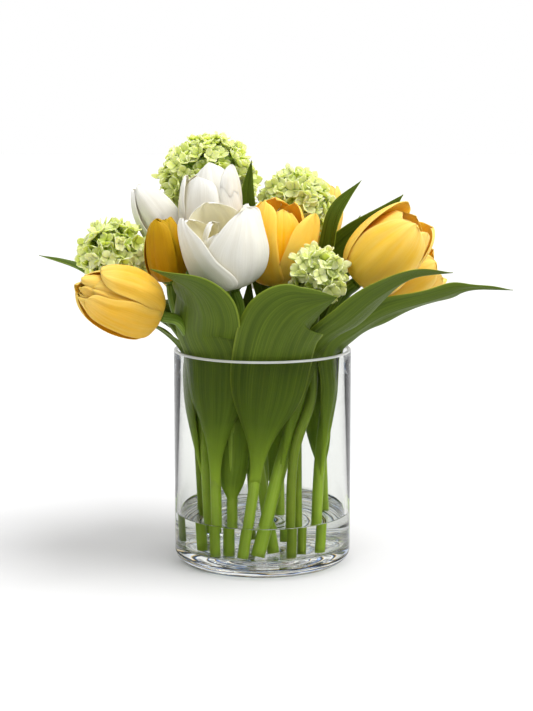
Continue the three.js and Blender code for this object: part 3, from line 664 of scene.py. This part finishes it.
def clear_material(name, ior, tint, waviness, mirror_from, ringed_with_painted_bands=False):
    """Glass or water that bends what is seen through it, mirrors at its edges rather than at its face, and
    lets the lamps' light in. mirror_from is the reflection that it starts to mirror at. Ringed glass is
    uneven in rings about its axis, as pressed bottoms are, and on its underside what it bends and mirrors
    is tinted in dark, bluish and amber bands: painted reflections and painted colour fringes."""
    m = Material(name)
    places = m.places()
    shade, shine = tint, WHITE
    if ringed_with_painted_bands:
        x, y, z = m.split(places)
        reach = m.math("SQRT", m.plus(m.times(x, x), m.times(y, y)))
        rings = m.add("CombineXYZ", {"X": reach, "Y": z, "Z": m.times(x, 0.12)})
        wavy = m.noise(rings, 190, detail=2)
        turns = m.plus(m.times(reach, PAINTED_BANDS_OUTWARD), m.times(z, PAINTED_BANDS_UPWARD), m.times(wavy, 2.2))
        # Painted reflections: dark, bluish and amber bands in what the underside bends and mirrors.
        painted_bands = m.ramp(m.math("FRACT", turns), (0.0, tint), (0.3, tint), (0.38, (0.45, 0.6, 0.95)),
                       (0.46, (0.1, 0.12, 0.15)), (0.58, (0.1, 0.12, 0.12)), (0.66, (0.95, 0.75, 0.4)),
                       (0.74, tint), (1.0, tint))
        under = m.add("MapRange", {"Value": z, "From Min": 0.0125, "From Max": 0.0105})
        shade = m.mix(under, tint, painted_bands)
        shine = m.mix(under, WHITE, painted_bands)
    else:
        wavy = m.noise(places, 18, detail=1)
    relief = m.relief(wavy, waviness, 0.001)
    bent = m.add("BsdfRefraction", {"Color": shade, "Roughness": 0.0, "IOR": ior, "Normal": relief})
    mirrored = m.add("BsdfGlossy", {"Color": shine, "Roughness": 0.0, "Normal": relief})
    share = m.add("MapRange", {"Value": m.add("Fresnel", {"IOR": ior}), "From Min": mirror_from})
    glass = m.add("MixShader", {0: share, 1: bent, 2: mirrored})
    clear = m.add("BsdfTransparent", {"Color": SHADOW_TINT})
    shadow_ray = m.node("LightPath").outputs["Is Shadow Ray"]
    return m.finish(m.add("MixShader", {0: shadow_ray, 1: glass, 2: clear}))


def rim_painted_highlight_material():
    """The polished rim: a whitish, half-clear skin whose pale base colour paints a bright highlight line all
    round.
    """
    m = Material("glass_rim_painted_highlight")
    rough = m.add("MapRange", {"Value": m.noise(m.places(), 40, detail=1), "To Min": 0.05, "To Max": 0.12})
    # The whitish base colour is a painted highlight.
    return m.finish(m.add("BsdfPrincipled", {
        "Base Color": (0.97, 0.98, 0.98), "Roughness": rough, "IOR": 1.5, "Transmission Weight": 0.45,
    }))


# Each look's slot, and its colours at the petals' base, body, tip, streaks and inside. The inside colour is
# the petals' own inner colour made brighter to stand for the light that reaches it: painted light.
LOOKS = {
    "golden": ("yellow_petal", (234, 174, 18), (230, 176, 52), (236, 200, 108), (210, 156, 34),
               (242, 190, 40)),
    "mustard": ("orange_petal", (182, 134, 3), (176, 130, 3), (190, 150, 14), (156, 114, 2), (196, 146, 6)),
    "orange": ("orange_petal", (254, 168, 0), (254, 184, 1), (254, 206, 98), (254, 166, 0), (255, 190, 14)),
    "pale_yellow": ("yellow_petal", (250, 186, 16), (249, 194, 66), (251, 210, 120), (246, 182, 44),
                    (250, 196, 50)),
    "white": ("white_petal", (214, 206, 150), (224, 221, 208), (232, 231, 224), (212, 207, 193),
              (252, 241, 186)),
}


def all_materials():
    materials = {
        "leaf": leaf_material("tulip_leaf", srgb(47, 65, 8), srgb(90, 112, 24), srgb(136, 153, 50),
                              srgb(82, 100, 32)),
        "stem": stem_material("tulip_stem", STEM_FOOT, STEM_ABOVE, srgb(176, 200, 92)),
        "wood": stem_material("guelder_stem", srgb(128, 152, 40), srgb(92, 114, 30), srgb(150, 166, 76)),
        "core": core_material(),
        "floret": floret_material(),
    }
    for look, (_, *colours) in LOOKS.items():
        glow_shares = (1.0, 0.96, 0.88) if look == "white" else (1.0, 0.75, 0.3)
        shades = [srgb(*colour) for colour in colours]
        materials[look] = petal_material(look + "_petal", *shades, glow_shares)
    return materials


# ---- blooms

RECEPTACLE = [(0, 0), (2.6, 0), (4.4, 0.5), (5.9, 1.6), (6.7, 3.2), (6.4, 6.2), (3.5, 8.0), (0, 8.5)]
PISTIL = [(0, 7), (2.4, 7), (2.9, 12), (2.7, 20), (4.3, 22.5), (3.6, 25), (0, 25.6)]
PETAL_COLUMNS = 33
EVEN_ROWS, TIP_ROWS = 25, 15  # rows of a petal below and above TIP_FROM, closer together towards the tip
TIP_FROM = 0.8


def petal_width(t, point):
    """Half a petal's width at t, as a share of its greatest: round shoulders and a narrow foot."""
    across = 1 - np.abs(2 * (0.02 + 0.98 * t**0.82) - 1) ** 2.3
    foot = 0.45 + 0.55 * smooth(t, 0.0, 0.3)
    return np.maximum(0.03, np.clip(across, 0, 1) ** point * foot)


def petal_surface(bloom, ring, azimuth, own):
    """One petal, in the bloom's frame. own holds the petal's own differences from the others."""
    radius, length = bloom["radius"], bloom["length"]
    point = own["point"]
    mouth = bloom["mouth"] + own["open"]
    top = ring["size"] * length * own["stretch"]
    spin = azimuth + radians(own["turn"])
    phase = own["phase"]

    def surface(s, t):
        profile = bezier(t, PETAL_FOOT, BELLY * radius, SHOULDER * radius, mouth * radius)
        reach = ring["girth"] * own["girth"] * profile
        height = bezier(t, 3 + ring["lift"], 1 + ring["lift"], SHOULDER_HEIGHT * top, top)
        curve = np.maximum(reach, TIGHTEST) * ring["flatness"]
        sweep = own["width"] * ring["width"] * radius * petal_width(t, point) / curve
        side = np.sign(s) * phase
        margin = np.sin(8 * t + 2 * side) + 0.6 * np.sin(15 * t + side)
        sweep = np.minimum(sweep, ring["widest"]) * (1 + own["waver"] * margin * smooth(t, 0.15, 0.5))
        angle = s * sweep
        upper = smooth(t, 0.5, 1.0)
        middle = np.exp(-((s / 0.12) ** 2)) * smooth(t, 0.05, 0.35) * (1 - 0.6 * t)
        pleats = 0.3 * np.sin(8 * s + phase + 1.5 * t) + 0.2 * np.sin(15 * s - 2 * phase + 2 * t)
        dents = np.sin(2.6 * s + 3.4 * t + phase) * np.sin(5.5 * t + 2 * phase)
        crimps = np.sin(own["waves"] * s * 3.2 + phase) * np.abs(s) ** 0.5 * smooth(t, 0.8, 1.0)
        ripple = np.sin(own["waves"] * s + phase) * upper * np.abs(s) ** 0.7
        push = -own["crease"] * middle + own["relief"] * (pleats + 0.7 * dents) * smooth(t, 0.02, 0.3)
        push += bloom["ruffle"] * (ripple + 0.25 * crimps)
        push += own["spiral"] * s * smooth(t, 0.05, 0.3)
        push -= own["cup"] * np.abs(s) ** 3 * smooth(t, 0.1, 0.5)
        push += own["flare"] * upper**2
        lean = radians(own["lean"]) * t * t
        radial = curve + push
        x = reach - curve + radial * np.cos(angle)
        y = radial * np.sin(angle)
        z = height - 1.6 * np.abs(s) ** 2.5 * smooth(t, 0.75, 1.0) + 0.4 * bloom["ruffle"] * ripple
        z -= own["dip"] * (1 - s) / 2 * upper
        c, d = np.cos(spin + lean), np.sin(spin + lean)
        return np.stack([c * x - d * y, d * x + c * y, z], -1)

    return surface


def petal_thickness(s, t):
    return (0.85 - 0.3 * t) * (1 - 0.6 * np.abs(s) ** 3)


def own_petal(random, index, bloom):
    """A petal's own small differences, angles in degrees and the rest in millimetres or shares."""
    own = {
        "turn": random.uniform(-5, 5),
        "stretch": random.uniform(0.96, 1.02),
        "open": random.uniform(-0.05, 0.06),
        "waves": random.uniform(3.0, 6.5),
        "phase": random.uniform(0, 6.28),
        "flare": random.uniform(-0.6, 1.5) + 3 * bloom.get("flare", 0),
        "crease": random.uniform(0.1, 0.9),
        "relief": random.uniform(0.5, 0.9),
        "cup": 1.0 if index % 2 == 0 else 0.3,
        "spiral": 1.1,
        "waver": 0.025,
        "lean": random.uniform(-5, 5),
        "dip": 0.0,
        "girth": 1.0,
        "width": 1.0,
        "point": bloom.get("point", PETAL_BLUNTNESS),
        "tone": random.uniform(0.2, 0.85),
    }
    own.update(bloom.get("petals", {}).get(index, {}))
    return own


def add_bloom(bloom, materials):
    seed = len(bloom["name"]) * 31 + int(bloom["length"]) * 7 + int(bloom["radius"] * 10)
    random = np.random.default_rng(seed)
    pieces = Pieces()
    s = np.linspace(-1, 1, PETAL_COLUMNS)
    tip = 1 - (1 - TIP_FROM) * (1 - np.linspace(0, 1, TIP_ROWS)) ** 1.6
    t = np.concatenate([np.linspace(0, TIP_FROM, EVEN_ROWS)[:-1], tip])
    for k in range(2 * PETALS_PER_RING + bloom.get("heart", 0)):
        ring = HEART if k >= 2 * PETALS_PER_RING else OUTER if k % 2 == 0 else INNER
        own = own_petal(random, k, bloom)
        surface = petal_surface(bloom, ring, k * pi / PETALS_PER_RING, own)
        shell(pieces, surface, s, t, petal_thickness, own["tone"])
    lathe(pieces, RECEPTACLE, 24, slot=1)
    if bloom["mouth"] > OPEN_MOUTH:
        lathe(pieces, PISTIL, 18, slot=1)
    turn = turn_to(bloom["axis"], bloom["roll"])
    pieces.places = [places @ turn.T + np.array(bloom["base"]) for places in pieces.places]
    piece = pieces.make(bloom["name"] + "_bloom", [materials[bloom["look"]], materials["stem"]])
    settle(piece, LOOKS[bloom["look"]][0], "tulip_" + bloom["name"])


# ---- stems and leaves

STEM_STEPS, STEM_SIDES = 60, 20
LEAF_COLUMNS = 25


def stem_curve(foot, via, base, axis, radius):
    first = via[0]
    lean = hypot(first[0] - foot[0], first[1] - foot[1]) / (first[2] - FLOOR)
    start = (foot[0], foot[1], FLOOR + GAP + FOOT_RISE * lean * radius)
    return Curve([start, *via, np.array(base) - NECK * np.array(axis), base])


def add_tube(pieces, curve, radius, steps, sides, slot=0, neck=1.0):
    """A stem with its two ends closed. neck widens or narrows its last tenth."""
    t = np.linspace(0, 1, steps + 1)
    centres = curve.at(t)
    tangents = curve.along(t)
    across = unit(np.cross(tangents[0], (0.3, 1, 0.1)))
    places, uv = [], []
    for i in range(steps + 1):
        across = unit(across - tangents[i] * np.dot(across, tangents[i]))
        other = np.cross(tangents[i], across)
        swelling = 1 + 0.04 * sin(9 * t[i] + radius)
        narrowing = 1 + (neck - 1) * float(smooth(t[i], 0.88, 1))
        own = radius * swelling * narrowing
        for k in range(sides):
            angle = 2 * pi * k / sides
            ridge = 1 + 0.025 * cos(3 * angle + 2 * t[i])
            places.append(centres[i] + own * ridge * (cos(angle) * across + sin(angle) * other))
            uv.append((k / sides if k * 2 < sides else 2 - 2 * k / sides, t[i]))
    faces = []
    for i in range(steps):
        for k in range(sides):
            a, b = i * sides + k, i * sides + (k + 1) % sides
            faces.append((a, b, b + sides, a + sides))
    faces.append(tuple(range(sides))[::-1])
    faces.append(tuple(steps * sides + k for k in range(sides)))
    pieces.add(places, faces, np.array(uv), slot=slot, flat=2)


def leaf_width(t, leaf):
    """Half a leaf's width at t, as a share of its greatest: a narrow foot, a shoulder and a drawn-out tip."""
    peak, shoulder = leaf["peak"], leaf.get("shoulder", LEAF_SHOULDER)
    climb = np.clip(t / peak, 0, 1) ** 3
    rising = LEAF_FOOT + (1 - LEAF_FOOT) * (1 + shoulder**3) * climb / (climb + shoulder**3)
    beyond = np.clip((t - peak) / (1 - peak), 0, 1)
    falling = np.maximum(0.02, np.cos(pi / 2 * beyond**LEAF_TAPER))
    return np.where(t <= peak, rising, falling)


def leaf_surface(leaf, stem, stem_radius):
    face, face_tip = (unit(v) for v in leaf["face"])
    start = stem.at(stem.height(leaf["rise"])) + face * (LEAF_ROOT - stem_radius)
    spine = Curve([start, *leaf["path"]])
    wave, waves = leaf["wave"]
    phase = leaf["rise"]

    def surface(s, t):
        along = spine.along(t)
        w = (t * t)[..., None]
        inward = face * (1 - w) + face_tip * w
        side = unit(np.cross(along, inward))
        up = np.cross(side, along)
        half = leaf["width"] / 2 * leaf_width(t, leaf)
        bend = (1 - t) ** 3 * leaf["bend"][0] + 3 * t * (1 - t) * leaf["bend"][1] + t**3 * leaf["bend"][2]
        rise = half * (1 - np.cos(bend * s)) / bend
        ends = smooth(t, 0.12, 0.4) * (1 - smooth(t, 0.85, 1.0))
        rise += wave * np.sin(2 * pi * waves * t + 1.7 * np.sign(s)) * np.abs(s) ** 2.5 * ends
        rise -= 0.5 * np.exp(-((s / 0.08) ** 2)) * ends
        rise += wave * 0.45 * np.sin(5.2 * s + 4 * t + phase) * np.sin(9 * t + 2 * phase) * ends
        out = half * np.sin(bend * s) / bend
        return spine.at(t) + side * out[..., None] + up * rise[..., None]

    return surface


def leaf_thickness(s, t):
    return (1.0 - 0.45 * t) * (1 - 0.55 * np.abs(s) ** 3) * (0.35 + 0.65 * smooth(t, 0.0, 0.08))


def add_tulip_stem(tulip, materials):
    axis = unit(tulip["axis"])
    base = np.array(tulip["base"]) - GAP * axis
    radius = tulip.get("stem", TULIP_STEM)
    curve = stem_curve(tulip["foot"], tulip["via"], base, axis, radius)
    pieces = Pieces()
    add_tube(pieces, curve, radius, STEM_STEPS, STEM_SIDES, neck=0.92)
    s = np.linspace(-1, 1, LEAF_COLUMNS)
    t = np.concatenate([np.linspace(0, 0.85, 66)[:-1], np.linspace(0.85, 1, 20)])
    tones = np.random.default_rng(len(tulip["name"]) * 17 + int(tulip["length"]))
    for leaf in LEAVES:
        if leaf["tulip"] == tulip["name"]:
            surface = leaf_surface(leaf, curve, radius)
            shell(pieces, surface, s, t, leaf_thickness, tones.uniform(0.3, 0.7), slot=1)
    piece = pieces.make(tulip["name"] + "_leafy_stem", [materials["stem"], materials["leaf"]])
    settle(piece, "leaf", "stem_" + tulip["name"])


# ---- guelder-rose heads

FLORET_PETALS = 4
FLORET_SIZE = 6.2
FLORET_THICKNESS = 0.35
FLORET_DEPTH = 1.5  # how far the florets' middles lie below the head's surface
CORE_DEPTH = 7.5
CORE_SIDES, CORE_RINGS = 24, 14
WOODY_SIDES = 16
STALK_ANGLES = (0, 2.094, 4.189)


def floret_template(size, cup, random):
    """One floret facing +Z: four rounded petals, cupped by about cup millimetres."""
    pieces = Pieces()
    s = np.linspace(-1, 1, 5)
    t = np.array([0, 0.3, 0.6, 0.84, 0.96, 1.0])
    for k in range(FLORET_PETALS):
        turn = 2 * pi * k / FLORET_PETALS + random.uniform(-0.12, 0.12)
        reach = size * random.uniform(0.92, 1.06)
        curl = cup + random.uniform(-0.8, 0.9)
        twist = random.uniform(-0.6, 0.6)

        def surface(s, t, turn=turn, reach=reach, curl=curl, twist=twist):
            half = 0.5 * size * np.maximum(0.1, np.sin(pi * (0.03 + 0.97 * t**1.15)) ** 0.6)
            x = reach * (0.06 + 0.94 * t) * (1 - 0.06 * s * s)
            y = half * s
            z = curl * t * t * 1.6 - 1.0 + 0.9 * s * s * t + twist * s * t - 0.8 * t**6
            c, d = cos(turn), sin(turn)
            return np.stack([c * x - d * y, d * x + c * y, z], -1)

        shell(pieces, surface, s, t, lambda s, t: FLORET_THICKNESS + 0 * s, 0.5)
    return pieces


def add_stalk(pieces, root, end, direction):
    """A three-sided stalk from the head's core to a floret."""
    side = unit(np.cross(direction, (0.2, 0.5, 0.84)))
    other = np.cross(direction, side)
    ring = [cos(a) * side + sin(a) * other for a in STALK_ANGLES]
    places = [root + 0.7 * v for v in ring] + [end + 0.6 * v for v in ring]
    faces = [(0, 1, 4, 3), (1, 2, 5, 4), (2, 0, 3, 5), (2, 1, 0), (3, 4, 5)]
    pieces.add(places, faces, (0.5, 0.3), slot=1)


def add_snowball(head, materials):
    random = np.random.default_rng(int(head["radius"] * 100))
    centre = np.array(head["centre"], float)
    axis = unit(centre - np.array(head["via"][-1]))
    pieces = Pieces()
    core = head["radius"] - CORE_DEPTH
    profile = [(core * sin(a), -core * cos(a)) for a in np.linspace(0, pi, CORE_RINGS)]
    profile[0], profile[-1] = (0, -core), (0, core)
    lathe(pieces, profile, CORE_SIDES, slot=1)
    golden = pi * (3 - sqrt(5))
    for k in range(head["florets"]):
        z = 1 - (2 * k + 1) / head["florets"]
        flat = sqrt(1 - z * z)
        direction = unit(np.array([flat * cos(k * golden), flat * sin(k * golden), z])
                         + random.normal(0, 0.05, 3))
        at_the_stem = np.dot(direction, axis) < -0.9
        if at_the_stem:
            continue
        facing = unit(direction + random.normal(0, 0.42, 3))
        lift = head["radius"] - FLORET_DEPTH + random.uniform(-4.0, 3.6)
        floret = floret_template(FLORET_SIZE * random.uniform(0.88, 1.14), random.uniform(0.6, 3.0), random)
        turn = turn_to(facing, random.uniform(0, 90))
        places = np.concatenate(floret.places) @ turn.T + direction * lift
        # Florets lying deeper in the head get a darker tone: painted shade, with a random spread on top.
        tone = np.clip(0.55 + 0.12 * (lift - head["radius"]) + random.normal(0, 0.2), 0, 1)
        pieces.add(places, floret.faces, np.concatenate(floret.uv), tone, np.concatenate(floret.front))
        add_stalk(pieces, direction * (core - 1), direction * lift - facing * 1.5, direction)
    pieces.places = [places + centre for places in pieces.places]
    piece = pieces.make(head["name"] + "_snowball", [materials["floret"], materials["core"]])
    settle(piece, "floret", "snowball_" + head["name"])


def add_snowball_stem(head, material):
    """The stem ends below the core of the CAD head, which its florets stand off by FLORET_STAND."""
    centre = np.array(head["centre"], float)
    axis = unit(centre - np.array(head["via"][-1]))
    stem = Pieces()
    base = centre - axis * (head["radius"] - FLORET_STAND + STALK_GAP)
    curve = stem_curve(head["foot"], head["via"], base, axis, head["stem"])
    add_tube(stem, curve, head["stem"], STEM_STEPS, WOODY_SIDES)
    piece = stem.make(head["name"] + "_snowball_stem", [material])
    settle(piece, "woody_stem", "stem_snowball_" + head["name"])


# ---- vase and water

KICK = 2.6  # how high the underside rises at its middle
FOOT_RING = 47  # the radius inside which it rises
RIPPLE, RIPPLE_LENGTH = 0.2, 6
TURN_STEPS = 160
ARC_STEPS = 12
VASE_CREASE = 35
WATER_LAP = 0.1  # how far the water reaches into the glass, so that no film of air shows between them
CLIMB_WIDTH, CLIMB_HEIGHT, CLIMB_STEPS = 2.2, 1.1, 8


def add_vase():
    """The body and the thick bottom have a clear material each, and the polished rim a whitish, half-clear
    one that paints its highlight.
    """
    inner, lip = VASE_RADIUS - WALL, WALL / 2
    profile = []
    for r in range(FOOT_RING):
        wave = RIPPLE * (1 + cos(2 * pi * r / RIPPLE_LENGTH))
        profile.append((r, KICK * (1 - (r / FOOT_RING) ** 2) + wave))
    profile += arc(VASE_RADIUS - HEEL, HEEL, HEEL, -pi / 2, 0, 16)
    profile += arc(VASE_RADIUS - lip, VASE_HEIGHT - lip, lip, 0, pi, ARC_STEPS)
    profile += arc(inner - INNER_FILLET, FLOOR + INNER_FILLET, INNER_FILLET, 0, -pi / 2, ARC_STEPS)
    profile += [(0, FLOOR)]
    lip_from, base_to = VASE_HEIGHT - lip, FLOOR + INNER_FILLET

    def slot_at(height):
        return 1 if height > lip_from else 2 if height < base_to else 0

    pieces = Pieces()
    lathe(pieces, profile, TURN_STEPS, slot_at=slot_at)
    piece = pieces.make("glass_vase", [
        clear_material("clear_glass", 1.5, GLASS_TINT, 0.005, mirror_from=0.08),
        rim_painted_highlight_material(),
        clear_material("thick_glass", 1.5, GLASS_TINT, 0.25, mirror_from=0.02, ringed_with_painted_bands=True),
    ], crease=VASE_CREASE)
    settle(piece, "glass", "vase")


def add_water():
    """Still water that climbs a little at the glass."""
    outer = VASE_RADIUS - WALL + WATER_LAP
    floor = FLOOR - WATER_LAP
    profile = [(0, floor)]
    profile += arc(outer - INNER_FILLET, floor + INNER_FILLET, INNER_FILLET, -pi / 2, 0, ARC_STEPS)
    for k in range(CLIMB_STEPS, -1, -1):
        share = k / CLIMB_STEPS
        profile.append((outer - CLIMB_WIDTH * (1 - share), WATER_LEVEL + CLIMB_HEIGHT * share**2.2))
    profile += [(outer - 6, WATER_LEVEL), (0, WATER_LEVEL)]
    pieces = Pieces()
    lathe(pieces, profile, TURN_STEPS)
    water = clear_material("clear_water", 1.33, WATER_TINT, 0.01, mirror_from=0.04)
    piece = pieces.make("still_water", [water], crease=VASE_CREASE)
    settle(piece, "water", "water")


# ---- camera, floor and light

CAMERA_PLACE = (0.0029, -1.186, 0.334)
CAMERA_PITCH = 8.9
CAMERA_LENS = 84.9
FLOOR_HALF = 8
KEY_FROM = (1.0, -0.4, 2.3)
KEY_POWER = 2.8
KEY_SPREAD = 38
DARK, BLUISH, WARM = (0.06, 0.07, 0.09), (0.5, 0.65, 1), (1, 0.85, 0.6)
BOUNCES = 16


def add_camera():
    data = bpy.data.cameras.new("camera")
    data.sensor_width = 36
    data.lens = CAMERA_LENS
    data.clip_end = 50
    camera = place("camera", data)
    camera.location = CAMERA_PLACE
    camera.rotation_euler = (radians(90 - CAMERA_PITCH), 0, 0)
    bpy.context.scene.camera = camera


def add_floor():
    mesh = bpy.data.meshes.new("floor")
    corners = [(x * FLOOR_HALF, y * FLOOR_HALF, 0) for x, y in ((-1, -1), (1, -1), (1, 1), (-1, 1))]
    mesh.from_pydata(corners, [], [(0, 1, 2, 3)])
    floor = place("floor", mesh)
    m = Material("floor")
    grain = m.noise(m.places(), 400, detail=2)
    shade = m.mix(m.times(grain, 0.1), (0.65, 0.65, 0.65), (0.62, 0.62, 0.62))
    mesh.materials.append(m.finish(m.add("BsdfPrincipled", {
        "Base Color": shade, "Roughness": 0.6, "Specular IOR Level": 0.2,
    })))


def add_key():
    """One broad soft light from the upper right, as even over the floor as a far window's."""
    data = bpy.data.lights.new("key", "SUN")
    data.energy = KEY_POWER
    data.angle = radians(KEY_SPREAD)
    lamp = place("key", data)
    lamp.rotation_euler = (-Vector(KEY_FROM)).to_track_quat("-Z", "Y").to_euler()


def add_world():
    """A pale studio: even light for matt surfaces, and darker sides with a few panels that clear and glossy
    surfaces mirror and bend. Behind the object it is white."""
    world = bpy.data.worlds.new("studio")
    world.use_nodes = True
    n = Nodes(world.node_tree)

    def light(colour):
        return n.add("Background", {"Color": colour})

    def either(choice, first, second):
        return n.add("MixShader", {0: choice, 1: first, 2: second})

    towards = n.split(n.node("TexCoord").outputs["Generated"])
    side, depth = (n.math("MULTIPLY_ADD", towards[k], 0.5, 0.5) for k in ("X", "Y"))
    greys = (0, 0.95), (0.25, 0.95), (0.5, 0.98), (0.75, 1.1), (1, 1.2)
    soft = n.ramp(depth, *((k, (grey, grey, 1.01 * grey)) for k, grey in greys))
    panels = n.ramp(
        side, (0.0, 0.9), (0.08, BLUISH), (0.1, DARK), (0.14, DARK), (0.16, (0.9, 0.75, 0.5)), (0.24, 0.8),
        (0.3, (0.7, 0.7, 0.72)), (0.32, DARK), (0.35, DARK), (0.37, WARM), (0.42, 0.85),
        (0.48, (0.5, 0.5, 0.52)), (0.52, (0.5, 0.5, 0.52)), (0.58, 0.85), (0.63, (0.55, 0.75, 1)),
        (0.65, DARK), (0.68, DARK), (0.7, 0.7), (0.76, 0.8), (0.84, BLUISH), (0.86, DARK), (0.89, DARK),
        (0.91, WARM), (1.0, 0.9))
    behind = n.ramp(depth, (0.7, 0), (0.88, 1))
    rays = n.node("LightPath").outputs
    clear = either(behind, light(panels), light(WHITE))
    lit = either(rays["Is Diffuse Ray"], clear, light(soft))
    n.node("OutputWorld", {"Surface": either(rays["Is Camera Ray"], lit, light(WHITE))})
    bpy.context.scene.world = world


def main():
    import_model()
    add_camera()
    add_floor()
    add_world()
    add_key()
    materials = all_materials()
    for tulip in TULIPS:
        add_bloom(tulip, materials)
        add_tulip_stem(tulip, materials)
    for head in SNOWBALLS:
        add_snowball(head, materials)
        add_snowball_stem(head, materials["wood"])
    add_vase()
    add_water()

    scene = bpy.context.scene
    scene.view_settings.view_transform = "Standard"
    scene.view_settings.look = "None"
    scene.cycles.max_bounces = 24
    scene.cycles.glossy_bounces = BOUNCES
    scene.cycles.transmission_bounces = BOUNCES
    scene.cycles.transparent_max_bounces = 24


main()
